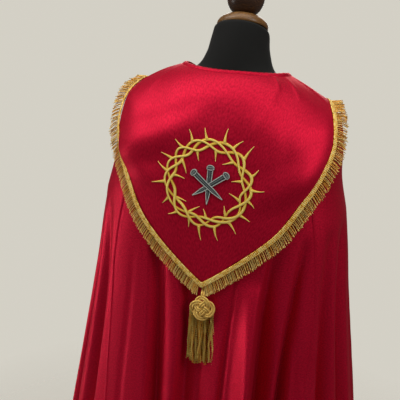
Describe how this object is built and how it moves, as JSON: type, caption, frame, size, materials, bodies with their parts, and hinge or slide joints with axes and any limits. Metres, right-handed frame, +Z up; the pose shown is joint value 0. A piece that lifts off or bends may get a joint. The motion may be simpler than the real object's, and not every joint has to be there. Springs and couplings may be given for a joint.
{
  "type": "cope vestment on dress form",
  "caption": "Long open cloak with a fringed shield-shaped hood, cord knot and tassel, resting on a limbless dress form with round foot.",
  "frame": {"origin": "middle of the underside of the stand's round foot", "axes": "+Z up, -Y the way the wearer faces, +X the wearer's left"},
  "size_m": [0.8957, 0.6033, 1.6934],
  "materials": {
    "satin": "smooth red satin with a soft sheen",
    "gold_trim": "metallic gold thread",
    "grey_thread": "grey embroidery thread",
    "form_cover": "matt black jersey",
    "walnut": "varnished",
    "stand": "satin black"
  },
  "bodies": {
    "root": {"cope_back": "satin", "cope_front_left": "satin", "cope_front_right": "satin", "hood": "satin", "neck_binding": "satin", "clasp_tab": "satin", "hood_fringe_left": "gold_trim", "hood_fringe_right": "gold_trim", "tassel_loop": "gold_trim", "tassel_knot": "gold_trim", "tassel_skirt": "gold_trim", "form_torso": "form_cover", "neck_disc": "walnut", "finial_ball": "walnut", "stand_pole": "stand", "stand_base": "stand"}
  },
  "joints": []
}
